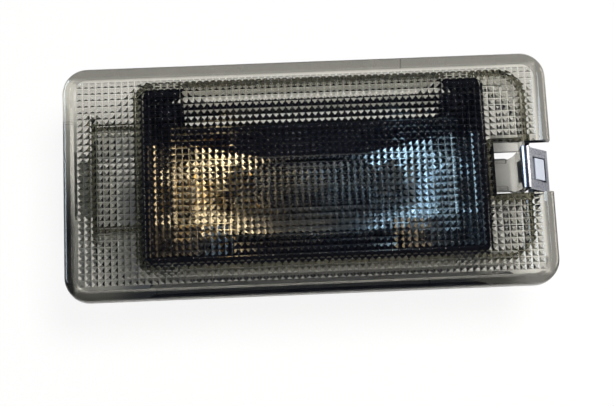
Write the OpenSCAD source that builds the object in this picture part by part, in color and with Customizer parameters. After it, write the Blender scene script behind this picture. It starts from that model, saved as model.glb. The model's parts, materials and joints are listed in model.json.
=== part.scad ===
// Car trunk light that snaps into a cut-out in a trim panel.
// A smoked lens moulding carries the rim, a skirt, a fixed hook and a spring tongue.
// A dark housing closes its back and holds a folded reflector, two strip contacts
// and a festoon bulb. A folded steel clip hinges on the bead of the tongue.
// Millimetres. The lamp lies on the back of its housing, with the lens upward:
// X runs from the fixed hook to the latch, Y across, Z out through the lens.

/* [Lens] */
// Length of the lens over its rim
lens_length = 89; // [74:0.5:107]
// Width of the lens over its rim
lens_width = 43.6; // [39:0.2:53]
// Radius of the four lens corners
lens_corner = 4.6; // [4:0.1:6]
// Width of the smooth rim round the optic field
rim_width = 1.9; // [1.5:0.1:2.2]
// Height of the rim's outer edge, which seats on the panel
rim_height = 2.2; // [1.9:0.1:3]
// Radius on the rim's outer top edge
rim_round = 0.8; // [0.4:0.1:1.2]
// Depth of the optic field below the rim
field_drop = 0.45; // [0.3:0.05:0.6]
// Width of the bevel from the rim down to the field
rim_bevel = 0.5; // [0.3:0.1:0.7]

/* [Skirt and fixed hook] */
// Wall of the skirt that locates the lamp in the panel
skirt_wall = 1.3; // [1:0.1:1.6]
// How far the skirt reaches behind the rim
skirt_depth = 6; // [5:0.5:7.5]
// Distance from the lens end to the skirt at the latch end
skirt_setback = 3.5; // [3:0.1:4.5]
// Corner radius of the skirt at the latch end
skirt_corner = 5.5; // [3:0.5:6]
// Distance from the lens end to the fixed hook's back plate
hook_setback = 4.7; // [4.2:0.1:6]
// Reach of the hook's nose beyond its plate
hook_reach = 3.4; // [2:0.1:3.8]
// Width of the hook's nose
hook_width = 12; // [8:0.5:15]
// Spacing of the two guide ribs beside the hook
guide_spacing = 19.3; // [17:0.1:22]
// Thickest panel that the hook and the latch hold
panel_grip = 3; // [2:0.1:3.4]

/* [Latch] */
// Width of the notch in the lens end
notch_width = 9.8; // [9.4:0.1:12]
// Wall round the notch
notch_wall = 1; // [0.8:0.1:1.2]
// Depth of the tongue's flat root below the rim
tongue_drop = 6; // [5.5:0.1:6.6]
// Thickness of the tongue
tongue_wall = 1.1; // [0.9:0.05:1.2]
// Width of the tongue's root
tongue_width = 6; // [5:0.1:6.6]
// Straight run of the tongue before it turns up
tongue_run = 3.25; // [3.1:0.05:3.3]
// Diameter of the bead that the clip hinges on
bead_diameter = 1.2; // [1:0.05:1.3]
// Width of the steel clip
clip_width = 7.8; // [7:0.1:8.4]
// Thickness of the clip's spring steel
clip_sheet = 0.3; // [0.25:0.05:0.35]
// Length of the clip's outer leg
leg_length = 4.4; // [4.1:0.1:4.5]

/* [Housing] */
// Overall depth of the lamp
lamp_depth = 24.6; // [24:0.1:29.5]
// Room for the fixed hook beside the housing
hook_margin = 14.25; // [13:0.25:17]
// Room for the notch and latch beside the housing
latch_margin = 11.55; // [11.4:0.05:13]
// Margin of the lens above the housing
upper_margin = 4; // [2:0.1:5]
// Margin of the lens below the housing
lower_margin = 6.4; // [2:0.1:7]
// Wall of the housing
box_wall = 1.45; // [1.2:0.05:1.7]
// Floor of the housing
box_floor = 1.6; // [1.2:0.1:2]
// Outer corner radius of the housing
box_corner = 1.6; // [1:0.1:3]
// Length of the full-height corners of the upper wall
corner_wall = 7.7; // [7.4:0.1:9]
// Depth of the low stretch between them, below the rim's seat
sill_depth = 8; // [7.5:0.1:9]
// Clear width of the plug socket
socket_width = 9.6; // [8.6:0.1:10.5]
// Clear height of the plug socket
socket_height = 5.2; // [4.4:0.1:5.4]
// Depth of the plug socket
socket_depth = 7; // [6:0.1:7.4]

/* [Reflector] */
// Width of the reflector strip
reflector_width = 15.4; // [13:0.1:17]
// Thickness of the reflector sheet
reflector_sheet = 0.4; // [0.3:0.05:0.6]
// Depth of the reflector's end flanges below the rim
reflector_depth = 8; // [7:0.1:8.6]
// Angle of the reflector's sloping ends
reflector_slope = 50; // [42:1:58]
// Radius of the curve between slope and flat
reflector_radius = 12; // [8:0.5:13]
// Length of the ear at the plug end
left_ear = 11.4; // [8:0.1:12]
// Length of the ear at the latch end
right_ear = 13; // [8:0.1:14]

/* [Bulb and contacts] */
// Length of the festoon bulb over its tips
bulb_length = 36; // [30:0.5:41]
// Diameter of the bulb's glass
glass_diameter = 10.6; // [8.5:0.1:11]
// Diameter of the bulb's metal caps
cap_diameter = 8.5; // [7:0.1:9]
// Depth of the bulb's axis below the rim
bulb_depth = 12.8; // [12:0.1:13.2]
// Thickness of the contact strips
contact_sheet = 0.5; // [0.4:0.05:0.6]
// Width of the upright contact springs
spring_width = 6; // [5:0.1:7]
// Width of the plug blades
blade_width = 2.8; // [2.2:0.1:3]
// Spacing of the two plug blades
blade_pitch = 5; // [4.4:0.1:5.4]

/* [Hidden] */
$fn = 48;

// Small amount by which a cut runs past the face it opens
cut = 1;
// Widest angle of one facet round a bend in sheet
bend_step = 7.5;
// Assembly gap between the housing and the lens skirt
seat_gap = 0.1;
// Gap between neighbouring sheet parts
sheet_gap = 0.15;

// Levels along Z
plate_back = lamp_depth - rim_height;
field_level = lamp_depth - field_drop;
skirt_low = plate_back - skirt_depth;

// Housing outline, set in from the lens by its four margins
box_left = -lens_length / 2 + hook_margin;
box_right = lens_length / 2 - latch_margin;
box_low = -lens_width / 2 + lower_margin;
box_high = lens_width / 2 - upper_margin;
box_mid_x = (box_left + box_right) / 2;
box_mid_y = (box_low + box_high) / 2;
inner_left = box_left + box_wall;
inner_right = box_right - box_wall;
inner_low = box_low + box_wall;
inner_high = box_high - box_wall;

// Skirt outline, one clearance outside the housing
skirt_offset = seat_gap + skirt_wall;
skirt_right = lens_length / 2 - skirt_setback;
hook_plate = -lens_length / 2 + hook_setback;
guide_wall = 1.2;
plate_extra = 1;
nose_edge = 1.2;

// Notch, tongue and the bead at the tongue's end
notch_start = box_right + seat_gap + notch_wall;
tongue_bend = 76;
tongue_bend_radius = 1.55;
bead_drop = 1.1;
bead_r = bead_diameter / 2;
tongue_level = lamp_depth - tongue_drop - tongue_wall / 2;
bend_rise = tongue_bend_radius * (1 - cos(tongue_bend));
tongue_rise = (lamp_depth - bead_drop - tongue_level - bend_rise) / sin(tongue_bend);
bead_x = notch_start + tongue_run + tongue_bend_radius * sin(tongue_bend) + tongue_rise * cos(tongue_bend);
bead_z = lamp_depth - bead_drop;
neck_wall = 0.5;
neck_root = 0.4;
rail_width = 0.8;
rail_height = 0.6;

// Steel clip: a curl round the bead, an outer leg with a window, a crest and a foot
hinge_gap = 0.05;
curl_r = bead_r + hinge_gap + clip_sheet / 2;
curl_wrap = 214;
curl_drop = 0.15;
leg_fall = 42;
leg_bend_r = 0.55;
leg_x = curl_r + leg_bend_r * (1 - cos(90 - leg_fall));
leg_z = -curl_drop - leg_bend_r * sin(90 - leg_fall);
window_side = 1.6;
window_start = 0.4;
window_end = leg_length - 0.5;
window_width = clip_width - 2 * window_side;
crest_turn = 83;
crest_r = 0.6;
return_leg = 3.6;
foot_turn = 35;
foot_length = 0.8;
clip_path = [[curl_drop, 90 - leg_fall, leg_bend_r],
             [leg_length, -crest_turn, crest_r],
             [return_leg, -foot_turn, crest_r],
             [foot_length, 0, 0]];

// Ramp nib of the tongue, which shows through the clip's window
nib_gap = 0.3;
nib_proud = 0.3;
nib_width = window_width - 2 * nib_gap;
nib_top = 2.3;
nib_low = 3.9;
nib_lead = 0.1;
nib_root = 0.5;

// Snap noses at the corners of the housing and their windows in the skirt
snap_inset = 4.6;
snap_places = [box_left + snap_inset, box_right - snap_inset];
snap_length = 4;
snap_height = 2.2;
snap_reach = 0.9;
snap_gap = 0.3;
snap_level = plate_back - 4.2;

// Posts in the upper corners of the housing
post_inset = [3.2, 2.2];
post_base_r = 2.9;
post_top_r = 1.7;
post_drop = 2;
floor_corner = 0.4;

// Plug socket in the lower long wall
socket_inset = 8.6;
socket_x = box_left + socket_inset;
socket_wall = 1.2;
socket_back = box_low + socket_depth;
strip_level = box_floor + socket_height / 2;

// Reflector: flanges on end shelves, slopes down to a flat over the floor
flange_length = 3;
flange_level = lamp_depth - reflector_depth - reflector_sheet / 2;
flat_level = strip_level + contact_sheet / 2 + 0.7 + reflector_sheet / 2;
flange_bend_r = 1.5;
slope_drop = flange_level - flat_level - (flange_bend_r + reflector_radius) * (1 - cos(reflector_slope));
slope_length = slope_drop / sin(reflector_slope);
end_reach = (flange_bend_r + reflector_radius) * sin(reflector_slope) + slope_length * cos(reflector_slope);
flat_length = inner_right - inner_left - 2 * (sheet_gap + flange_length + end_reach);
shelf_level = flange_level - reflector_sheet / 2;
shelf_width = 2.4;
shelf_wall = 1.4;
shelf_overhang = 0.6;
web_wall = 1.2;
stake_r = 0.7;
stake_hole_r = 0.85;
stake_rise = 0.2;
stake_head_r = [1.2, 0.9];
stake_head = 0.5;

// Ears of the reflector, staked to ledges across the lower corners
ear_gap = 0.4;
ear_high = box_mid_y - reflector_width / 2 - ear_gap;
ear_low = inner_low + 2 * sheet_gap;
ear_overlap = 1;
ear_stake_y = (ear_high + ear_low) / 2;
slot_allowance = [2.4, 1.2];

// Bulb: tips at both ends, conical caps, glass between them
bulb_level = lamp_depth - bulb_depth;
tip_length = 0.8;
tip_r = 1.4;
cone_length = 2.2;
cap_length = 7;
cap_r = cap_diameter / 2;
cap_sheet = 0.3;
cap_mouth_r = 0.5;
cap_crown = 0.4;
glass_wall = 0.6;
glass_fit = 0.05;
neck_r = cap_r - cap_sheet - glass_fit;
neck_run = 1.6;
seal_length = 1.6;
lead_r = 0.25;
filament_length = 7;
filament_r = 0.45;
filament_wire_r = 0.12;
filament_turns = 12;

// Contact springs: the cone of each cap seats in the hole of an upright
cap_hole_r = 1.9;
cap_seat = tip_length + (cap_hole_r - tip_r) / (cap_r - tip_r) * cone_length;
upright_offset = bulb_length / 2 - cap_seat + 0.02 + contact_sheet / 2;
contact_bend_r = 0.8;
lip_angle = 35;
lip_length = 2;
blade_inset = 1.2;
blade_chamfer = 0.9;
blade_fit = 0.05;
blade_left = socket_x - blade_pitch / 2;
blade_right = socket_x + blade_pitch / 2;
bus_gap = 0.3;
bus_return = 2.4;
bus_y = socket_back + socket_wall + bus_gap + blade_width / 2;
bus_end = box_mid_x + upright_offset + contact_bend_r + blade_width + bus_return;
rib_wall = 1;
bus_ribs = [-10, 4, 18];
arm_rib_inset = 3.4;

// A flat outline with rounded corners between two opposite corner points
module rounded_plan(left, low, right, high, r_left, r_right) {
  polygon([[left + r_left, low], [right - r_right, low], [right, low + r_right],
           [right, high - r_right], [right - r_right, high], [left + r_left, high],
           [left, high - r_left], [left, low + r_left]]);
  for (y = [low + r_left, high - r_left])
    translate([left + r_left, y]) circle(r = r_left);
  for (y = [low + r_right, high - r_right])
    translate([right - r_right, y]) circle(r = r_right);
}

// Centreline of a folded strip as [x, z, heading]: each step is a run, a turn and its mean radius
function strip_path(steps, at, i = 0) =
  i == len(steps) ? [] :
  let (run = steps[i][0], turn = steps[i][1], r = steps[i][2] * sign(turn),
       start = [at.x + run * cos(at.z), at.y + run * sin(at.z), at.z],
       parts = ceil(abs(turn) / bend_step),
       bend = [for (k = [1 : 1 : parts])
                 let (heading = at.z + turn * k / parts)
                   [start.x + r * (sin(heading) - sin(at.z)),
                    start.y - r * (cos(heading) - cos(at.z)), heading]],
       end = turn == 0 ? start : bend[parts - 1])
    concat(run > 0 ? [start] : [], bend, strip_path(steps, end, i + 1));

// A folded strip in the XZ plane, centred on Y, which starts along the given heading
module bent_strip(steps, width, sheet, heading = 0) {
  path = concat([[0, 0, heading]], strip_path(steps, [0, 0, heading]));
  last = len(path) - 1;
  upper = [for (p = path) [p.x - sin(p.z) * sheet / 2, p.y + cos(p.z) * sheet / 2]];
  lower = [for (i = [last : -1 : 0])
             [path[i].x + sin(path[i].z) * sheet / 2, path[i].y - cos(path[i].z) * sheet / 2]];
  rotate([90, 0, 0]) linear_extrude(width, center = true) polygon(concat(upper, lower));
}

// Sweeps a profile round the lens outline; the profile's X starts at the corner centres
module around_lens() {
  straight_x = lens_length - 2 * lens_corner;
  straight_y = lens_width - 2 * lens_corner;
  for (turn = [0, 180])
    rotate([0, 0, turn]) {
      translate([straight_x / 2, straight_y / 2, 0])
        rotate([90, 0, 0]) linear_extrude(straight_y) children();
      translate([straight_x / 2, straight_y / 2, 0])
        rotate_extrude(angle = 90) children();
      rotate([0, 0, 90])
        translate([straight_y / 2, straight_x / 2, 0])
          rotate([90, 0, 0]) linear_extrude(straight_x) children();
      translate([-straight_x / 2, straight_y / 2, 0])
        rotate([0, 0, 90]) rotate_extrude(angle = 90) children();
    }
}

// Section of the rim: rounded outside, bevelled down to the field inside
module rim_section() {
  inner = lens_corner - rim_width;
  difference() {
    translate([inner, plate_back]) square([rim_width, rim_height]);
    difference() {
      translate([lens_corner - rim_round, lamp_depth - rim_round]) square(rim_round + cut);
      translate([lens_corner - rim_round, lamp_depth - rim_round]) circle(r = rim_round);
    }
    polygon([[inner - cut, field_level], [inner, field_level], [inner + rim_bevel, lamp_depth],
             [inner + rim_bevel, lamp_depth + cut], [inner - cut, lamp_depth + cut]]);
  }
}

// Point beside the clip's outer leg, from its start along it and out from its mid-plane
function leg_point(along, out) = [leg_x + along * cos(leg_fall) + out * sin(leg_fall),
                                  leg_z - along * sin(leg_fall) + out * cos(leg_fall)];

// Spring tongue: ribbed flat root, flared rise, neck, hinge bead and ramp nib
module tongue() {
  path = [[tongue_run + notch_wall / 2, tongue_bend, tongue_bend_radius],
          [tongue_rise - curl_r - clip_sheet / 2 - nib_gap, 0, 0]];
  flare_start = notch_start + tongue_run;
  intersection() {
    translate([notch_start - notch_wall / 2, 0, tongue_level]) bent_strip(path, clip_width, tongue_wall);
    translate([0, 0, skirt_low])
      linear_extrude(skirt_depth + rim_height)
        polygon([[notch_start - notch_wall / 2, -tongue_width / 2], [flare_start, -tongue_width / 2],
                 [bead_x - bead_r, -clip_width / 2], [bead_x + cut, -clip_width / 2],
                 [bead_x + cut, clip_width / 2], [bead_x - bead_r, clip_width / 2],
                 [flare_start, tongue_width / 2], [notch_start - notch_wall / 2, tongue_width / 2]]);
  }
  for (y = [-1, 1])
    translate([notch_start, y * (tongue_width - rail_width) / 2, tongue_level])
      rotate([90, 0, 0])
        linear_extrude(rail_width, center = true)
          polygon([[-notch_wall / 2, 0], [tongue_run, 0],
                   [tongue_run - rail_height, tongue_wall / 2 + rail_height],
                   [-notch_wall / 2, tongue_wall / 2 + rail_height]]);
  translate([bead_x, 0, bead_z]) {
    rotate([90, 0, 0]) cylinder(r = bead_r, h = clip_width, center = true);
    rotate([0, 180 - tongue_bend, 0])
      translate([0, -clip_width / 2, -neck_wall / 2])
        cube([curl_r + clip_sheet / 2 + nib_gap + neck_root, clip_width, neck_wall]);
    rotate([90, 0, 0])
      linear_extrude(nib_width, center = true)
        polygon([[-nib_top / tan(tongue_bend), -nib_top],
                 [leg_x + nib_gap, -nib_top],
                 leg_point(window_start + nib_gap + nib_lead, nib_proud),
                 leg_point(window_end - nib_gap - 2 * nib_lead, nib_proud),
                 leg_point(window_end - 2 * nib_gap, -nib_root),
                 [-nib_low / tan(tongue_bend), -nib_low]]);
  }
}

// Skirt with its snap windows, the walls of the notch and the guides and hook at the far end
module skirt() {
  difference() {
    translate([0, 0, skirt_low])
      linear_extrude(skirt_depth + rim_height / 2)
        difference() {
          rounded_plan(box_left - skirt_offset, box_low - skirt_offset, skirt_right, box_high + skirt_offset,
                       box_corner + skirt_offset, skirt_corner);
          rounded_plan(box_left - seat_gap, box_low - seat_gap, skirt_right - skirt_wall, box_high + seat_gap,
                       box_corner + seat_gap, skirt_corner - skirt_wall);
        }
    for (place = snap_places)
      translate([place - snap_length / 2 - snap_gap, box_low - skirt_offset - cut, snap_level - snap_gap])
        cube([snap_length + 2 * snap_gap, box_high - box_low + 2 * (skirt_offset + cut),
              snap_height + 2 * snap_gap]);
  }
  translate([box_right + seat_gap, -notch_width / 2 - notch_wall, skirt_low])
    cube([skirt_right - skirt_wall / 2 - box_right - seat_gap, notch_width + 2 * notch_wall,
          skirt_depth + rim_height / 2]);
}

module fixed_hook() {
  hook_top = plate_back - panel_grip;
  rib_start = box_left - skirt_offset + skirt_wall / 2;
  translate([0, box_mid_y, 0]) {
    for (side = [-1, 1]) {
      translate([hook_plate, side * guide_spacing / 2 - guide_wall / 2, skirt_low])
        cube([rib_start - hook_plate, guide_wall, skirt_depth + rim_height / 2]);
      translate([hook_plate, side * (guide_spacing / 2 + guide_wall) - guide_wall, skirt_low])
        cube([guide_wall, 2 * guide_wall, skirt_depth + rim_height / 2]);
    }
    translate([hook_plate, -guide_spacing / 2, skirt_low - plate_extra])
      cube([guide_wall, guide_spacing, skirt_depth + plate_extra + rim_height / 2]);
    rotate([90, 0, 0])
      linear_extrude(hook_width, center = true)
        polygon([[hook_plate + guide_wall / 2, skirt_low - plate_extra],
                 [hook_plate, skirt_low - plate_extra],
                 [hook_plate - hook_reach, hook_top - nose_edge],
                 [hook_plate - hook_reach, hook_top],
                 [hook_plate + guide_wall / 2, hook_top]]);
  }
}

module lens() {
  color([0.55, 0.55, 0.5, 0.5]) {
    difference() {
      union() {
        around_lens() rim_section();
        translate([0, 0, plate_back])
          linear_extrude(rim_height - field_drop)
            rounded_plan(-(lens_length - rim_width) / 2, -(lens_width - rim_width) / 2,
                         (lens_length - rim_width) / 2, (lens_width - rim_width) / 2,
                         lens_corner - rim_width / 2, lens_corner - rim_width / 2);
        skirt();
      }
      translate([notch_start, -notch_width / 2, skirt_low - cut])
        cube([lens_length, notch_width, lamp_depth]);
    }
    fixed_hook();
    tongue();
  }
}

// Wedge that clicks into a skirt window, on the upper or lower long wall
module snap_nose() {
  rotate([90, 0, 90])
    linear_extrude(snap_length, center = true)
      polygon([[-box_wall / 2, 0], [snap_reach * 0.3, 0], [snap_reach, snap_height * 0.4],
               [snap_reach, snap_height * 0.6], [0, snap_height], [-box_wall / 2, snap_height]]);
}

// Stake through the reflector sheet, with its head pressed over it
module stake() {
  cylinder(r = stake_r, h = shelf_wall + reflector_sheet + stake_rise);
  translate([0, 0, shelf_wall + reflector_sheet])
    cylinder(r1 = stake_head_r[0], r2 = stake_head_r[1], h = stake_head);
}

// Shelf under a reflector flange, with webs at both sides and the flange's stake
module end_shelf() {
  shelf_length = reflector_width + 2 * shelf_overhang;
  translate([0, -shelf_length / 2, shelf_level - shelf_wall])
    cube([shelf_width, shelf_length, shelf_wall]);
  for (y = [-1, 1])
    rotate([90, 0, 0])
      translate([0, 0, y * (shelf_length - web_wall) / 2 - web_wall / 2])
        linear_extrude(web_wall)
          polygon([[0, shelf_level - shelf_wall], [shelf_width, shelf_level - shelf_wall],
                   [0, shelf_level - shelf_wall - 2 * shelf_width]]);
  translate([sheet_gap + flange_length / 2, 0, shelf_level - shelf_wall]) stake();
}

// Ledge across a lower corner of the housing under an ear, with a web below its free edge
module corner_ledge(length) {
  depth = ear_high - inner_low;
  translate([0, inner_low, shelf_level - shelf_wall]) cube([length, depth, shelf_wall]);
  translate([length - web_wall, inner_low, shelf_level - shelf_wall])
    rotate([90, 0, 90])
      linear_extrude(web_wall) polygon([[0, 0], [depth, 0], [0, -depth / 2]]);
  translate([length / 2, ear_stake_y, shelf_level - shelf_wall]) stake();
}

module housing() {
  socket_outer = socket_width + 2 * socket_wall;
  strip_low = strip_level - contact_sheet / 2;
  color([0.1, 0.1, 0.13]) {
    difference() {
      union() {
        difference() {
          linear_extrude(plate_back)
            rounded_plan(box_left, box_low, box_right, box_high, box_corner, box_corner);
          translate([0, 0, box_floor])
            linear_extrude(plate_back)
              rounded_plan(inner_left, inner_low, inner_right, inner_high, floor_corner, floor_corner);
          translate([box_left + corner_wall, inner_high - cut, plate_back - sill_depth])
            cube([box_right - box_left - 2 * corner_wall, box_wall + 2 * cut, sill_depth + cut]);
        }
        translate([socket_x - socket_outer / 2, box_low + box_wall / 2, box_floor / 2])
          cube([socket_outer, socket_depth + socket_wall - box_wall / 2,
                box_floor / 2 + socket_height + socket_wall]);
      }
      translate([socket_x - socket_width / 2, box_low - cut, box_floor])
        cube([socket_width, socket_depth + cut, socket_height]);
      for (x = [blade_left, blade_right])
        translate([x - blade_width / 2 - blade_fit, socket_back - cut, strip_low - blade_fit])
          cube([blade_width + 2 * blade_fit, socket_wall + 2 * cut, contact_sheet + 2 * blade_fit]);
    }
    // Snap noses on both long walls
    for (place = snap_places) {
      translate([place, box_high, snap_level]) snap_nose();
      translate([place, box_low, snap_level]) rotate([0, 0, 180]) snap_nose();
    }
    // Reflector shelves and corner ledges
    translate([inner_left, box_mid_y, 0]) end_shelf();
    translate([inner_right, box_mid_y, 0]) mirror([1, 0, 0]) end_shelf();
    translate([inner_left, 0, 0]) corner_ledge(left_ear);
    translate([inner_right, 0, 0]) mirror([1, 0, 0]) corner_ledge(right_ear);
    // Tapered posts in the upper corners
    for (x = [inner_left + post_inset.x, inner_right - post_inset.x])
      translate([x, inner_high - post_inset.y, box_floor / 2])
        cylinder(r1 = post_base_r, r2 = post_top_r, h = plate_back - post_drop - box_floor / 2);
    // Floor ribs that carry the contact strips
    for (x = bus_ribs)
      translate([box_mid_x + x, bus_y - blade_width / 2 - rib_wall, box_floor / 2])
        cube([rib_wall, blade_width + 2 * rib_wall, strip_low - box_floor / 2]);
    for (side = [-1, 1])
      translate([box_mid_x + side * (upright_offset + arm_rib_inset) - rib_wall / 2,
                 box_mid_y - spring_width / 2, box_floor / 2])
        cube([rib_wall, spring_width, strip_low - box_floor / 2]);
  }
}

// Ear that reaches from an end flange over the ledge of a lower corner
module ear(length) {
  flange_low = box_mid_y - reflector_width / 2;
  translate([0, 0, flange_level - reflector_sheet / 2])
    linear_extrude(reflector_sheet)
      polygon([[0, flange_low + ear_overlap], [flange_length, flange_low + ear_overlap],
               [flange_length, ear_high], [length - 2 * sheet_gap, ear_high],
               [length - 2 * sheet_gap, ear_low], [0, ear_low]]);
}

module reflector() {
  path = [[flange_length, -reflector_slope, flange_bend_r],
          [slope_length, reflector_slope, reflector_radius],
          [flat_length, reflector_slope, reflector_radius],
          [slope_length, -reflector_slope, flange_bend_r],
          [flange_length, 0, 0]];
  slot_length = contact_sheet + slot_allowance.x;
  slot_width = spring_width + slot_allowance.y;
  color([0.8, 0.8, 0.8])
    difference() {
      union() {
        translate([inner_left + sheet_gap, box_mid_y, flange_level])
          bent_strip(path, reflector_width, reflector_sheet);
        translate([inner_left + sheet_gap, 0, 0]) ear(left_ear);
        translate([inner_right - sheet_gap, 0, 0]) mirror([1, 0, 0]) ear(right_ear);
      }
      for (x = [inner_left + left_ear / 2, inner_right - right_ear / 2])
        translate([x, ear_stake_y, flange_level - cut]) cylinder(r = stake_hole_r, h = 2 * cut);
      for (x = [inner_left + sheet_gap + flange_length / 2, inner_right - sheet_gap - flange_length / 2])
        translate([x, box_mid_y, flange_level - cut]) cylinder(r = stake_hole_r, h = 2 * cut);
      for (side = [-1, 1])
        translate([box_mid_x + side * upright_offset - slot_length / 2, box_mid_y - slot_width / 2, 0])
          cube([slot_length, slot_width, bulb_level]);
    }
}

// Flat plug blade along Y with a chamfered tip, from its tip to a given end
module blade(x, y_end) {
  tip = box_low + blade_inset;
  translate([x, 0, strip_level - contact_sheet / 2])
    linear_extrude(contact_sheet)
      polygon([[-blade_width / 4, tip], [blade_width / 4, tip], [blade_width / 2, tip + blade_chamfer],
               [blade_width / 2, y_end], [-blade_width / 2, y_end], [-blade_width / 2, tip + blade_chamfer]]);
}

// Upright spring at the end of an arm, with the hole that takes the tip of a bulb cap
module cap_spring(reach) {
  rise = bulb_level + cap_r - strip_level - contact_bend_r;
  difference() {
    bent_strip([[reach - contact_bend_r, 90, contact_bend_r], [rise, lip_angle, contact_bend_r],
                [lip_length, 0, 0]], spring_width, contact_sheet);
    translate([reach - cut, 0, bulb_level - strip_level])
      rotate([0, 90, 0]) cylinder(r = cap_hole_r, h = 2 * cut);
  }
}

module contact_left() {
  arm_start = blade_left - blade_width / 2;
  color([0.85, 0.7, 0.4]) {
    blade(blade_left, box_mid_y + spring_width / 2);
    translate([arm_start, box_mid_y, strip_level]) cap_spring(box_mid_x - upright_offset - arm_start);
  }
}

module contact_right() {
  color([0.75, 0.77, 0.8]) {
    blade(blade_right, bus_y + blade_width / 2);
    translate([blade_right - blade_width / 2, bus_y - blade_width / 2, strip_level - contact_sheet / 2])
      cube([bus_end - blade_right + blade_width / 2, blade_width, contact_sheet]);
    translate([bus_end - blade_width, bus_y - blade_width / 2, strip_level - contact_sheet / 2])
      cube([blade_width, box_mid_y + spring_width / 2 - bus_y + blade_width / 2, contact_sheet]);
    translate([bus_end, box_mid_y, strip_level])
      mirror([1, 0, 0]) cap_spring(bus_end - box_mid_x - upright_offset);
  }
}

// Places a piece of the bulb on its axis, measured inward from the left or right tip
module at_bulb_end(side) {
  translate([box_mid_x - side * bulb_length / 2, box_mid_y, bulb_level])
    rotate([0, side * 90, 0]) children();
}

module bulb_cap(side) {
  cone_start = tip_length;
  cone_end = tip_length + cone_length;
  color([0.8, 0.8, 0.78])
    at_bulb_end(side)
      rotate_extrude()
        polygon([[cap_mouth_r, cone_start], [tip_r, cone_start], [cap_r, cone_end], [cap_r, cap_length],
                 [cap_r - cap_sheet, cap_length], [cap_r - cap_sheet, cone_end + cap_sheet / 2],
                 [tip_r, cone_start + cap_crown], [cap_mouth_r, cone_start + cap_crown]]);
}

module solder_tip(side) {
  color([0.7, 0.7, 0.72])
    at_bulb_end(side)
      rotate_extrude()
        intersection() {
          translate([0, tip_r]) circle(r = tip_r);
          square([tip_r, tip_length]);
        }
}

// Tube with closed, drawn-in ends that sit inside the two caps
module bulb_glass() {
  neck_start = tip_length + cone_length + cap_crown;
  body_start = cap_length + neck_run;
  bore_r = lead_r + glass_fit;
  outer_r = glass_diameter / 2;
  color([0.9, 0.93, 0.95, 0.4])
    at_bulb_end(1)
      rotate_extrude()
        polygon([[bore_r, neck_start], [neck_r, neck_start], [neck_r, cap_length], [outer_r, body_start],
                 [outer_r, bulb_length - body_start], [neck_r, bulb_length - cap_length],
                 [neck_r, bulb_length - neck_start], [bore_r, bulb_length - neck_start],
                 [bore_r, bulb_length - neck_start - seal_length],
                 [neck_r - glass_wall, bulb_length - neck_start - seal_length],
                 [neck_r - glass_wall, bulb_length - cap_length],
                 [outer_r - glass_wall, bulb_length - body_start - glass_wall / 3],
                 [outer_r - glass_wall, body_start + glass_wall / 3], [neck_r - glass_wall, cap_length],
                 [neck_r - glass_wall, neck_start + seal_length], [bore_r, neck_start + seal_length]]);
}

module lead_wire(side) {
  color([0.75, 0.75, 0.75])
    at_bulb_end(side)
      translate([0, 0, tip_length])
        cylinder(r = lead_r, h = (bulb_length - filament_length) / 2 - tip_length);
}

// Coiled wire between the two leads
module filament() {
  color([0.5, 0.5, 0.5])
    translate([box_mid_x - filament_length / 2, box_mid_y, bulb_level])
      rotate([0, 90, 0])
        linear_extrude(filament_length, twist = -360 * filament_turns, slices = 8 * filament_turns, $fn = 4)
          translate([filament_r - filament_wire_r, 0]) circle(r = filament_wire_r);
}

module spring_clip() {
  color([0.3, 0.32, 0.38])
    translate([bead_x, 0, bead_z])
      difference() {
        union() {
          translate([0, clip_width / 2, 0])
            rotate([90, 0, 0])
              rotate_extrude(angle = curl_wrap)
                translate([bead_r + hinge_gap, 0]) square([clip_sheet, clip_width]);
          translate([curl_r, 0, 0]) bent_strip(clip_path, clip_width, clip_sheet, -90);
        }
        translate([leg_x, 0, leg_z])
          rotate([0, leg_fall, 0])
            translate([window_start, -window_width / 2, -cut])
              cube([window_end - window_start, window_width, 2 * cut]);
      }
}

lens();
housing();
reflector();
contact_left();
contact_right();
bulb_glass();
bulb_cap(1);  // bulb_cap_left
bulb_cap(-1);  // bulb_cap_right
solder_tip(1);  // solder_tip_left
solder_tip(-1);  // solder_tip_right
lead_wire(1);  // lead_wire_left
lead_wire(-1);  // lead_wire_right
filament();
spring_clip();
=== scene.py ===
import json
import math
from collections import Counter
import bpy
from mathutils import Matrix, Vector

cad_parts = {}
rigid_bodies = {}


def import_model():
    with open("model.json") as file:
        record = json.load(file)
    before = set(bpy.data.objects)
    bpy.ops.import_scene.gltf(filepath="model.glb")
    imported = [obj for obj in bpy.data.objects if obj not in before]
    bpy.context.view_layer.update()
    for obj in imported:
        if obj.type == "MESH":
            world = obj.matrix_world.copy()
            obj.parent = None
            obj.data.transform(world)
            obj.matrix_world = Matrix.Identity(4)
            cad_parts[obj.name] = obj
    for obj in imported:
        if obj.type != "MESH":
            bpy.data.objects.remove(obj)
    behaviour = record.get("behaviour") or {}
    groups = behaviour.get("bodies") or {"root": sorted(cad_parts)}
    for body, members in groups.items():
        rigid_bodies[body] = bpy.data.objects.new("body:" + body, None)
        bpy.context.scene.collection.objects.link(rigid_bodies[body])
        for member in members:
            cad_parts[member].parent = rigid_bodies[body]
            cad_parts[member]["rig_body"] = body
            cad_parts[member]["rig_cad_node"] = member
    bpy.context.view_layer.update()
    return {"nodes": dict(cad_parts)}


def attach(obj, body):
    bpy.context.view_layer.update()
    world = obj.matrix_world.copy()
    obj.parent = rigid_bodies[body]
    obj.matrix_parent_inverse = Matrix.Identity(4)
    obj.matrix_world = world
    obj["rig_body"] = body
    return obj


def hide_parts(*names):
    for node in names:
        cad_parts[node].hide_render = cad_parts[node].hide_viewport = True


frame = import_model()
nodes = frame["nodes"]

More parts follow.
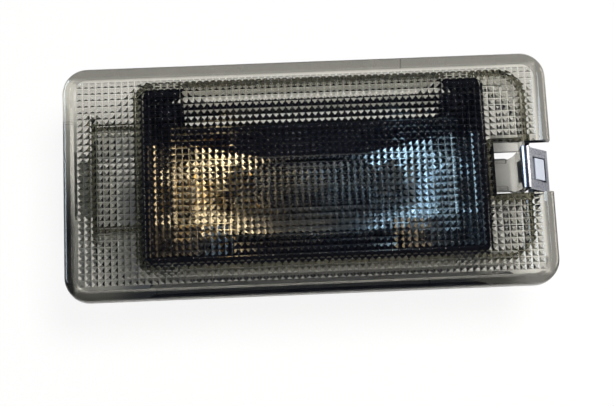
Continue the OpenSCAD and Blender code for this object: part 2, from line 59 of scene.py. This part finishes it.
# Camera: held over the lamp on its lower long side, so that the inner face of the
# upper wall shows. The lens face is 24.6 mm above the table.
MM = 0.001
EYE = Vector((-7.9, -82.4, 328.5)) * MM
VIEW_RIGHT = Vector((0.99893, -0.04437, 0.01306))
VIEW_UP = Vector((0.03978, 0.96833, 0.24648))
camera_data = bpy.data.cameras.new("camera")
camera_data.sensor_width = 36
camera_data.lens = 101.7
camera_data.clip_start = 0.01
camera_data.clip_end = 10
camera = bpy.data.objects.new("camera", camera_data)
bpy.context.scene.collection.objects.link(camera)
turn = Matrix((VIEW_RIGHT, VIEW_UP, VIEW_RIGHT.cross(VIEW_UP))).transposed().to_4x4()
camera.matrix_world = Matrix.Translation(EYE) @ turn
bpy.context.scene.camera = camera


# Lens moulding: one piece of smoked clear acrylic with its rim, skirt, fixed hook and
# spring tongue. The optic field is a lattice of square pits, cut in the mould by V-grooves
# in both directions; narrow flat ridges stay between them.
PITCH = 1.2 * MM
COLUMNS, ROWS = 70, 32
FIELD_X, FIELD_Y = COLUMNS * PITCH / 2, ROWS * PITCH / 2
FIELD_LEVEL = 24.15 * MM
RIDGE = 0.13 * MM
PIT_DEPTH = 0.5 * MM
PIT_AREA = (PITCH - RIDGE) ** 2
GROOVE_DEPTH = 0.3 * MM
GROOVE_TAPER = (0.9975, 0.995, 1)
RIM_FOOT_X, RIM_FOOT_Y = 37 * MM, 17 * MM
NOTCH_START, NOTCH_HALF = 34.05 * MM, 4.9 * MM
LEVEL_SLACK, SIDE_SLACK, AREA_SLACK = 0.02 * MM, 0.01 * MM, 1e-9


def select_only(*objects):
    bpy.ops.object.select_all(action="DESELECT")
    for piece in objects:
        piece.select_set(True)
    bpy.context.view_layer.objects.active = objects[0]


def select_where(piece, kind, test):
    """In edit mode, selects the faces or edges for which the test holds."""
    bpy.ops.mesh.select_mode(type=kind)
    bpy.ops.mesh.select_all(action="DESELECT")
    bpy.ops.object.mode_set(mode="OBJECT")
    for item in piece.data.polygons if kind == "FACE" else piece.data.edges:
        item.select = test(item)
    bpy.ops.object.mode_set(mode="EDIT")


def copy_of(node, name):
    """A merged copy of a CAD node's mesh, as a piece of its own."""
    piece = nodes[node].copy()
    piece.data = nodes[node].data.copy()
    piece.name = piece.data.name = name
    piece.parent = None
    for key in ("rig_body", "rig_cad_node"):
        if key in piece:
            del piece[key]
    piece.data.materials.clear()
    bpy.context.scene.collection.objects.link(piece)
    select_only(piece)
    bpy.ops.object.mode_set(mode="EDIT")
    bpy.ops.mesh.select_all(action="SELECT")
    bpy.ops.mesh.remove_doubles(threshold=0.002 * MM)
    bpy.ops.mesh.customdata_custom_splitnormals_clear()
    bpy.ops.object.mode_set(mode="OBJECT")
    return piece


def field_face(face):
    """The plain face of the field, which the pits take the place of."""
    return face.normal.z > 0.99 and abs(face.center.z - FIELD_LEVEL) < LEVEL_SLACK


def rim_foot(edge):
    """The open edges along the foot of the rim, without those of the clip's notch."""
    ends = [lens.data.vertices[i].co for i in edge.vertices]
    return edge.index in open_edges and all(
        abs(end.z - FIELD_LEVEL) < LEVEL_SLACK and abs(end.y) > NOTCH_HALF + SIDE_SLACK
        and (abs(end.x) > RIM_FOOT_X or abs(end.y) > RIM_FOOT_Y) for end in ends)


def outside_field(face):
    """The squares of the lattice that the notch and the rim's round corners leave out."""
    x, y = face.center.x, face.center.y
    in_notch = x > NOTCH_START - PITCH / 2 and abs(y) < NOTCH_HALF + PITCH / 2
    in_corner = abs(x) > FIELD_X - PITCH and abs(y) > FIELD_Y - PITCH
    return in_notch or in_corner


lens = copy_of("lens", "lens_moulding")
bpy.ops.object.mode_set(mode="EDIT")
select_where(lens, "FACE", field_face)
bpy.ops.mesh.delete(type="FACE")
bpy.ops.object.mode_set(mode="OBJECT")

# A fine groove runs along the foot of the rim.
uses = Counter(key for face in lens.data.polygons for key in face.edge_keys)
open_edges = {edge.index for edge in lens.data.edges if uses[edge.key] == 1}
bpy.ops.object.mode_set(mode="EDIT")
select_where(lens, "EDGE", rim_foot)
bpy.ops.mesh.extrude_region_move(TRANSFORM_OT_translate={"value": (0, 0, -GROOVE_DEPTH)})
bpy.ops.transform.resize(value=GROOVE_TAPER, center_override=(0, 0, FIELD_LEVEL - GROOVE_DEPTH))
bpy.ops.object.mode_set(mode="OBJECT")

# Each square of the lattice is inset by half a ridge, and its middle is sunk.
bpy.ops.object.select_all(action="DESELECT")
bpy.ops.mesh.primitive_grid_add(x_subdivisions=COLUMNS, y_subdivisions=ROWS, size=1,
                                location=(0, 0, FIELD_LEVEL))
pits = bpy.context.object
pits.scale = (2 * FIELD_X, 2 * FIELD_Y, 1)
bpy.ops.object.transform_apply(location=True, rotation=True, scale=True)
bpy.ops.object.mode_set(mode="EDIT")
select_where(pits, "FACE", outside_field)
bpy.ops.mesh.delete(type="FACE")
bpy.ops.mesh.select_all(action="SELECT")
bpy.ops.mesh.inset(thickness=RIDGE / 2, use_individual=True)
select_where(pits, "FACE", lambda face: abs(face.area - PIT_AREA) < AREA_SLACK)
bpy.ops.mesh.poke(offset=-PIT_DEPTH)
bpy.ops.object.mode_set(mode="OBJECT")

# Flat plastic fills what is left open between the lattice and the rim.
select_only(lens, pits)
bpy.ops.object.join()
bpy.ops.object.mode_set(mode="EDIT")
bpy.ops.mesh.select_mode(type="EDGE")
bpy.ops.mesh.select_all(action="DESELECT")
bpy.ops.mesh.select_non_manifold(extend=False, use_wire=False, use_boundary=True,
                                 use_multi_face=False, use_non_contiguous=False,
                                 use_verts=False)
bpy.ops.mesh.fill(use_beauty=True)
bpy.ops.mesh.select_all(action="SELECT")
bpy.ops.mesh.normals_make_consistent(inside=False)
bpy.ops.object.mode_set(mode="OBJECT")
select_only(lens)
bpy.ops.object.shade_smooth_by_angle(angle=math.radians(28))


def socket(node, name, value):
    node.inputs[name].default_value = value


def new_material(name):
    """A node material with its Principled shader and output, and its Object coordinates."""
    material = bpy.data.materials.new(name)
    material.use_nodes = True
    tree = material.node_tree
    tree.nodes.clear()
    output = tree.nodes.new("ShaderNodeOutputMaterial")
    shader = tree.nodes.new("ShaderNodeBsdfPrincipled")
    place = tree.nodes.new("ShaderNodeTexCoord")
    tree.links.new(shader.outputs["BSDF"], output.inputs["Surface"])
    return material, tree, shader, output, place


def pass_shadow_rays(tree, shader, output, colour):
    """Light for a shadow goes straight through the surface, tinted by the colour."""
    through = tree.nodes.new("ShaderNodeBsdfTransparent")
    socket(through, "Color", colour)
    path = tree.nodes.new("ShaderNodeLightPath")
    mix = tree.nodes.new("ShaderNodeMixShader")
    tree.links.new(path.outputs["Is Shadow Ray"], mix.inputs[0])
    tree.links.new(shader.outputs["BSDF"], mix.inputs[1])
    tree.links.new(through.outputs["BSDF"], mix.inputs[2])
    tree.links.new(mix.outputs[0], output.inputs["Surface"])


def math_node(operation, *values):
    """A math node in the tree at hand; each value is a number or an output to link."""
    node = tree.nodes.new("ShaderNodeMath")
    node.operation = operation
    for index, value in enumerate(values):
        if isinstance(value, (int, float)):
            node.inputs[index].default_value = value
        else:
            tree.links.new(value, node.inputs[index])
    return node.outputs[0]


def joined(operation, *values):
    """All the values, joined two by two by the same operation."""
    result = values[0]
    for value in values[1:]:
        result = math_node(operation, result, value)
    return result


def shaded(mask, shade):
    """1 outside the mask, and less by the shade within it."""
    return math_node("SUBTRACT", 1.0, math_node("MULTIPLY", mask, shade))


def ramp_node(value, start, end, low, high):
    """Maps start..end of a value to low..high, with soft ends."""
    node = tree.nodes.new("ShaderNodeMapRange")
    node.interpolation_type = "SMOOTHSTEP"
    for name, number in (("From Min", start), ("From Max", end), ("To Min", low),
                         ("To Max", high)):
        socket(node, name, number)
    tree.links.new(value, node.inputs["Value"])
    return node.outputs["Result"]


smoke, tree, shader, output, place = new_material("smoked_lens")
socket(shader, "IOR", 1.49)
socket(shader, "Transmission Weight", 1.0)
pass_shadow_rays(tree, shader, output, (0.66, 0.66, 0.65, 1))
absorb = tree.nodes.new("ShaderNodeVolumeAbsorption")
socket(absorb, "Color", (0.48, 0.47, 0.37, 1))
socket(absorb, "Density", 430)
tree.links.new(absorb.outputs["Volume"], output.inputs["Volume"])

# The moulded surface is slightly uneven.
haze = tree.nodes.new("ShaderNodeTexNoise")
socket(haze, "Scale", 900)
socket(haze, "Detail", 3)
bump = tree.nodes.new("ShaderNodeBump")
socket(bump, "Strength", 0.06)
socket(bump, "Distance", 0.03 * MM)
tree.links.new(place.outputs["Object"], haze.inputs["Vector"])
tree.links.new(haze.outputs["Fac"], bump.inputs["Height"])
tree.links.new(bump.outputs["Normal"], shader.inputs["Normal"])

split = tree.nodes.new("ShaderNodeSeparateXYZ")
tree.links.new(place.outputs["Object"], split.inputs[0])
at_x, at_y, at_z = (split.outputs[axis] for axis in "XYZ")
from_middle_x, from_middle_y = math_node("ABSOLUTE", at_x), math_node("ABSOLUTE", at_y)

# The rim is painted darker than the face, as painted shade, and darkest on the long
# lower side. On the left end the painted shade deepens from the upper corner to the lower one.
LOW_RIM_PAINTED_SHADE_TONE, TOP_RIM_PAINTED_SHADE_TONE, RIGHT_RIM_PAINTED_SHADE_TONE = 0.3, 0.42, 0.42
LEFT_UPPER_PAINTED_SHADE, LEFT_LOWER_PAINTED_SHADE = 0.06, 0.9
low_rim_painted_shade = ramp_node(at_y, -19.4 * MM, -20.2 * MM, 1.0, LOW_RIM_PAINTED_SHADE_TONE)
top_rim_painted_shade = ramp_node(at_y, 19.4 * MM, 20.2 * MM, 1.0, TOP_RIM_PAINTED_SHADE_TONE)
right_rim_painted_shade = ramp_node(at_x, 42.2 * MM, 43.0 * MM, 1.0, RIGHT_RIM_PAINTED_SHADE_TONE)
left_rim_painted_shade_mask = ramp_node(at_x, -42.2 * MM, -43.0 * MM, 0.0, 1.0)
left_rim_painted_shade = ramp_node(at_y, 8.0 * MM, -10.0 * MM, LEFT_UPPER_PAINTED_SHADE, LEFT_LOWER_PAINTED_SHADE)
rim_painted_shade_tone = math_node("MULTIPLY", joined("MINIMUM", low_rim_painted_shade, top_rim_painted_shade, right_rim_painted_shade),
                     shaded(left_rim_painted_shade_mask, left_rim_painted_shade))

# Thin witness lines of the mould cross the rim. Each has its place along one axis, and
# shows beyond a place on the other; both are in mm.
WITNESS_LINES = ((at_x, 18.0, at_y, 19.8), (at_x, -28.0, at_y, -19.8),
                 (at_x, 20.8, at_y, -19.8), (at_y, 11.7, at_x, -42.4))
WITNESS_HALF, WITNESS_SHADE = 0.07 * MM, 0.55
witness = []
for along, middle, across, beyond in WITNESS_LINES:
    line = math_node("COMPARE", along, middle * MM, WITNESS_HALF)
    side = math_node("GREATER_THAN" if beyond > 0 else "LESS_THAN", across, beyond * MM)
    witness.append(math_node("MULTIPLY", line, side))
witness_tone = shaded(joined("MAXIMUM", *witness), WITNESS_SHADE)

# The walls of the pits are painted darker than the clear ridges between them, as painted
# shade, and the wall on the lower side of each pit the darkest.
PIT_WALL_PAINTED_SHADE, LOWER_PIT_WALL_PAINTED_SHADE = 0.42, 0.84
pit_x, pit_y = (math_node("SUBTRACT", math_node("FRACT", math_node("DIVIDE", at, PITCH)), 0.5)
                for at in (at_x, at_y))
from_pit_x, from_pit_y = math_node("ABSOLUTE", pit_x), math_node("ABSOLUTE", pit_y)
in_pit = math_node("LESS_THAN", math_node("MAXIMUM", from_pit_x, from_pit_y),
                   0.5 - RIDGE / PITCH / 2)
in_columns = math_node("LESS_THAN", from_middle_x, FIELD_X)
in_rows = math_node("LESS_THAN", from_middle_y, FIELD_Y)
at_front = math_node("GREATER_THAN", at_z, FIELD_LEVEL - PIT_DEPTH - SIDE_SLACK)
lower_wall = math_node("GREATER_THAN", math_node("MULTIPLY", pit_y, -1.0), from_pit_x)
pit_wall_painted_shade = math_node("ADD", PIT_WALL_PAINTED_SHADE,
                       math_node("MULTIPLY", lower_wall, LOWER_PIT_WALL_PAINTED_SHADE - PIT_WALL_PAINTED_SHADE))
pit_wall_painted_tone = shaded(joined("MULTIPLY", in_pit, in_columns, in_rows, at_front), pit_wall_painted_shade)

# The tongue in the notch stands on edge, and is tinted a little darker than the face.
TONGUE_SHADE = 0.3
on_tongue = math_node("MULTIPLY", math_node("GREATER_THAN", at_x, NOTCH_START - PITCH / 2),
                      math_node("LESS_THAN", from_middle_y, NOTCH_HALF))
tongue_tone = shaded(on_tongue, TONGUE_SHADE)

# The tint carries the painted shade of the rim and of the pit walls, with the witness lines and
# the tongue's tint.
tone = joined("MULTIPLY", rim_painted_shade_tone, witness_tone, pit_wall_painted_tone, tongue_tone)
tint = tree.nodes.new("ShaderNodeCombineColor")
for channel in ("Red", "Green", "Blue"):
    tree.links.new(tone, tint.inputs[channel])
tree.links.new(tint.outputs["Color"], shader.inputs["Base Color"])

# The face and the tongue are polished. The skirt, hook and guide ribs behind the face
# have the mould's satin finish.
POLISHED, SATIN = 0.02, 0.44
behind = ramp_node(at_z, 21.6 * MM, 21.2 * MM, 0.0, 1.0)
off_tongue = math_node("LESS_THAN", at_x, 33.0 * MM)
satin = joined("MULTIPLY", behind, off_tongue, SATIN - POLISHED)
tree.links.new(math_node("ADD", satin, POLISHED), shader.inputs["Roughness"])
lens.data.materials.clear()
lens.data.materials.append(smoke)

# The nib in the clip's window is frosted, so it is paler than the rest.
NIB_START, NIB_HALF, NIB_FOOT = 40.6 * MM, 2.1 * MM, 17 * MM
nib_frost, tree, shader, output, place = new_material("nib_frost")
socket(shader, "Base Color", (0.58, 0.63, 0.74, 1))
socket(shader, "Roughness", 0.35)
socket(shader, "IOR", 1.49)
socket(shader, "Transmission Weight", 0.15)
lens.data.materials.append(nib_frost)
for face in lens.data.polygons:
    x, y, z = face.center
    if x > NIB_START and abs(y) < NIB_HALF and z > NIB_FOOT:
        face.material_index = 1
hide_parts("lens")
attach(lens, "lamp")


# Housing: an injection-moulded box of dark polypropylene that closes the lamp's back,
# snapped into the skirt at its corners. Its faces are satin, with a fine spark-eroded grain.
grain_group = bpy.data.node_groups.new("fine_grain", "ShaderNodeTree")
for name, side, kind in (("Vector", "INPUT", "NodeSocketVector"),
                         ("Scale", "INPUT", "NodeSocketFloat"),
                         ("Grain", "OUTPUT", "NodeSocketFloat"),
                         ("Patches", "OUTPUT", "NodeSocketFloat")):
    grain_group.interface.new_socket(name, in_out=side, socket_type=kind)
group_in = grain_group.nodes.new("NodeGroupInput")
group_out = grain_group.nodes.new("NodeGroupOutput")
fine = grain_group.nodes.new("ShaderNodeTexNoise")
socket(fine, "Detail", 4)
broad = grain_group.nodes.new("ShaderNodeTexNoise")
socket(broad, "Scale", 120)
socket(broad, "Detail", 3)
grain_group.links.new(group_in.outputs["Vector"], fine.inputs["Vector"])
grain_group.links.new(group_in.outputs["Scale"], fine.inputs["Scale"])
grain_group.links.new(group_in.outputs["Vector"], broad.inputs["Vector"])
grain_group.links.new(fine.outputs["Fac"], group_out.inputs["Grain"])
grain_group.links.new(broad.outputs["Fac"], group_out.inputs["Patches"])


def finish_material(name, dark, light, rough, grain_scale, bump, metallic=1.0, specular=0.5):
    """A solid finish whose colour, roughness and bump vary with the shared grain."""
    material, tree, shader, output, place = new_material(name)
    grain = tree.nodes.new("ShaderNodeGroup")
    grain.node_tree = grain_group
    socket(grain, "Scale", grain_scale)
    tree.links.new(place.outputs["Object"], grain.inputs["Vector"])
    tint = tree.nodes.new("ShaderNodeValToRGB")
    for stop, position, colour in zip(tint.color_ramp.elements, (0.3, 0.7), (dark, light)):
        stop.position = position
        stop.color = (*colour, 1)
    tree.links.new(grain.outputs["Patches"], tint.inputs["Fac"])
    tree.links.new(tint.outputs["Color"], shader.inputs["Base Color"])
    gloss = tree.nodes.new("ShaderNodeMapRange")
    socket(gloss, "To Min", rough[0])
    socket(gloss, "To Max", rough[1])
    tree.links.new(grain.outputs["Grain"], gloss.inputs["Value"])
    tree.links.new(gloss.outputs["Result"], shader.inputs["Roughness"])
    relief = tree.nodes.new("ShaderNodeBump")
    socket(relief, "Strength", bump)
    socket(relief, "Distance", 0.04 * MM)
    tree.links.new(grain.outputs["Grain"], relief.inputs["Height"])
    tree.links.new(relief.outputs["Normal"], shader.inputs["Normal"])
    socket(shader, "Metallic", metallic)
    socket(shader, "Specular IOR Level", specular)
    return material


def dress(names, material):
    """Puts a material on carried-over CAD nodes."""
    for name in names:
        slots = nodes[name].data.materials
        slots.clear()
        slots.append(material)


dress(["housing"], finish_material(
    "dark_housing", dark=(0.012, 0.013, 0.026), light=(0.022, 0.023, 0.042),
    rough=(0.34, 0.5), grain_scale=5000, bump=0.35, metallic=0.0, specular=0.2))


# Reflector: a folded strip of bright aluminium sheet, polished along its length and
# staked by its ears on the housing's shelves. Its flanges, level with the shelves, are
# painted darker than the rest, as painted shade.
FLANGE_LEVEL = 15.6 * MM
FLANGE_BLEND = 0.4 * MM
FLANGE_PAINTED_SHADE_COLOUR = (0.44, 0.42, 0.41, 1)
polished = finish_material(
    "bright_aluminium", dark=(0.82, 0.82, 0.83), light=(0.9, 0.9, 0.9),
    rough=(0.19, 0.23), grain_scale=2500, bump=0.05)
tree = polished.node_tree
shader = tree.nodes["Principled BSDF"]
height = tree.nodes.new("ShaderNodeSeparateXYZ")
tree.links.new(tree.nodes["Texture Coordinate"].outputs["Object"], height.inputs[0])
# Painted shade: the flanges get a darker colour than the rest of the sheet.
flange_painted_shade = ramp_node(height.outputs["Z"], FLANGE_LEVEL - FLANGE_BLEND,
                      FLANGE_LEVEL + FLANGE_BLEND, 0.0, 1.0)
flange_shade_mix = tree.nodes.new("ShaderNodeMix")
flange_shade_mix.data_type = "RGBA"
first_colour, second_colour, blended = flange_shade_mix.inputs[6], flange_shade_mix.inputs[7], flange_shade_mix.outputs[2]
tree.links.new(flange_painted_shade, flange_shade_mix.inputs[0])
tree.links.new(tree.nodes["Color Ramp"].outputs["Color"], first_colour)
second_colour.default_value = FLANGE_PAINTED_SHADE_COLOUR
tree.links.new(blended, shader.inputs["Base Color"])
dress(["reflector"], polished)


# Contacts: stamped spring strips that hold the bulb by its caps and end as the plug's
# blades. One is brass, the other is tinned.
dress(["contact_left"], finish_material(
    "brass_strip", dark=(0.72, 0.5, 0.2), light=(0.84, 0.62, 0.3),
    rough=(0.22, 0.36), grain_scale=3000, bump=0.15))
dress(["contact_right"], finish_material(
    "tinned_strip", dark=(0.62, 0.65, 0.7), light=(0.74, 0.76, 0.8),
    rough=(0.26, 0.4), grain_scale=3000, bump=0.15))


# Festoon bulb: a drawn glass tube with nickel-plated brass caps and solder tips. Its
# coiled filament hangs between two lead wires.
glass, tree, shader, output, place = new_material("bulb_glass")
socket(shader, "Base Color", (1, 1, 1, 1))
socket(shader, "Roughness", 0.0)
socket(shader, "IOR", 1.5)
socket(shader, "Transmission Weight", 1.0)
pass_shadow_rays(tree, shader, output, (1, 1, 1, 1))
dress(["bulb_glass"], glass)
dress(["bulb_cap_left", "bulb_cap_right"], finish_material(
    "nickel_cap", dark=(0.62, 0.6, 0.56), light=(0.74, 0.72, 0.68),
    rough=(0.2, 0.32), grain_scale=3000, bump=0.1))
dress(["solder_tip_left", "solder_tip_right"], finish_material(
    "solder", dark=(0.5, 0.5, 0.52), light=(0.68, 0.68, 0.7),
    rough=(0.35, 0.55), grain_scale=2500, bump=0.3))
dress(["lead_wire_left", "lead_wire_right", "filament"], finish_material(
    "bulb_wire", dark=(0.3, 0.3, 0.31), light=(0.42, 0.42, 0.43),
    rough=(0.3, 0.45), grain_scale=6000, bump=0.1))


# Spring clip: a strip of blued spring steel with a window, folded round the bead at the
# end of the tongue. It rocks on the bead when it is pressed.
dress(["spring_clip"], finish_material(
    "blued_steel", dark=(0.2, 0.21, 0.25), light=(0.34, 0.36, 0.41),
    rough=(0.22, 0.34), grain_scale=3500, bump=0.12))


# Table: plain and white. It shows white straight to the eye, and dim in mirrors and
# through the plastic, so that the dark housing stays dark.
TABLE_SIZE, TABLE_GAP = 6, 0.2 * MM
DIRECT_SHARE, MIRRORED_SHARE = 0.88, 0.05
bpy.ops.object.select_all(action="DESELECT")
bpy.ops.mesh.primitive_plane_add(size=TABLE_SIZE, location=(0, 0, -TABLE_GAP))
table = bpy.context.object
table.name = "table"
table_paint = bpy.data.materials.new("table")
table_paint.use_nodes = True
tree = table_paint.node_tree
tree.nodes.clear()
output = tree.nodes.new("ShaderNodeOutputMaterial")
matt = tree.nodes.new("ShaderNodeBsdfDiffuse")
socket(matt, "Color", (0.85, 0.85, 0.85, 1))
bright = tree.nodes.new("ShaderNodeEmission")
socket(bright, "Strength", 1.0)
path = tree.nodes.new("ShaderNodeLightPath")
in_mirror = math_node("MAXIMUM", path.outputs["Is Glossy Ray"],
                      path.outputs["Is Transmission Ray"])
mirrored_share = math_node("MULTIPLY", in_mirror, MIRRORED_SHARE)
direct_share = math_node("MULTIPLY", path.outputs["Is Camera Ray"], DIRECT_SHARE)
mix = tree.nodes.new("ShaderNodeMixShader")
tree.links.new(math_node("MAXIMUM", mirrored_share, direct_share), mix.inputs[0])
tree.links.new(matt.outputs[0], mix.inputs[1])
tree.links.new(bright.outputs[0], mix.inputs[2])
tree.links.new(mix.outputs[0], output.inputs["Surface"])
table.data.materials.append(table_paint)


def soft_light(name, place, size, power, colour, rays):
    """An area light aimed at the lamp, which only glossy or only diffuse rays see."""
    light_data = bpy.data.lights.new(name, "AREA")
    light_data.shape = "RECTANGLE"
    light_data.size, light_data.size_y = size
    light_data.energy = power
    light_data.color = colour
    light = bpy.data.objects.new(name, light_data)
    bpy.context.scene.collection.objects.link(light)
    light.location = place
    light.rotation_euler = (-Vector(place)).to_track_quat("-Z", "Y").to_euler()
    light.visible_glossy = rays == "glossy"
    light.visible_diffuse = rays == "diffuse"
    light.visible_transmission = False
    return light


# Light: a cool window on the left and a warm room on the right, which only the reflector
# mirrors. Their paler twins, a little nearer, give the other surfaces a calm sheen. One
# lamp overhead lights the table, under a dim sky.
mirrored_in = bpy.data.collections.new("mirrored_in")
mirrored_in.objects.link(nodes["reflector"])
for name, place, size, power, colour in (
        ("window_inside", (-0.78, 0.34, 0.44), (0.7, 0.6), 280, (0.36, 0.6, 1.0)),
        ("room_inside", (0.8, 0.2, 0.4), (0.6, 0.6), 290, (1.0, 0.8, 0.58))):
    light = soft_light(name, place, size, power, colour, rays="glossy")
    light.light_linking.receiver_collection = mirrored_in
soft_light("window_sheen", place=(-0.7, 0.35, 0.486), size=(0.68, 0.58), power=10,
           colour=(0.72, 0.85, 1.0), rays="glossy")
soft_light("room_sheen", place=(0.72, 0.195, 0.457), size=(0.58, 0.58), power=8,
           colour=(1.0, 0.92, 0.82), rays="glossy")
soft_light("overhead_light", place=(0.22, 0.07, 1.0), size=(0.3, 0.3), power=13.2,
           colour=(1.0, 0.97, 0.91), rays="diffuse")

world = bpy.data.worlds.new("sky")
bpy.context.scene.world = world
world.use_nodes = True
sky = world.node_tree.nodes["Background"]
socket(sky, "Color", (0.34, 0.5, 1.0, 1))
socket(sky, "Strength", 0.075)
bpy.context.scene.view_settings.view_transform = "Standard"
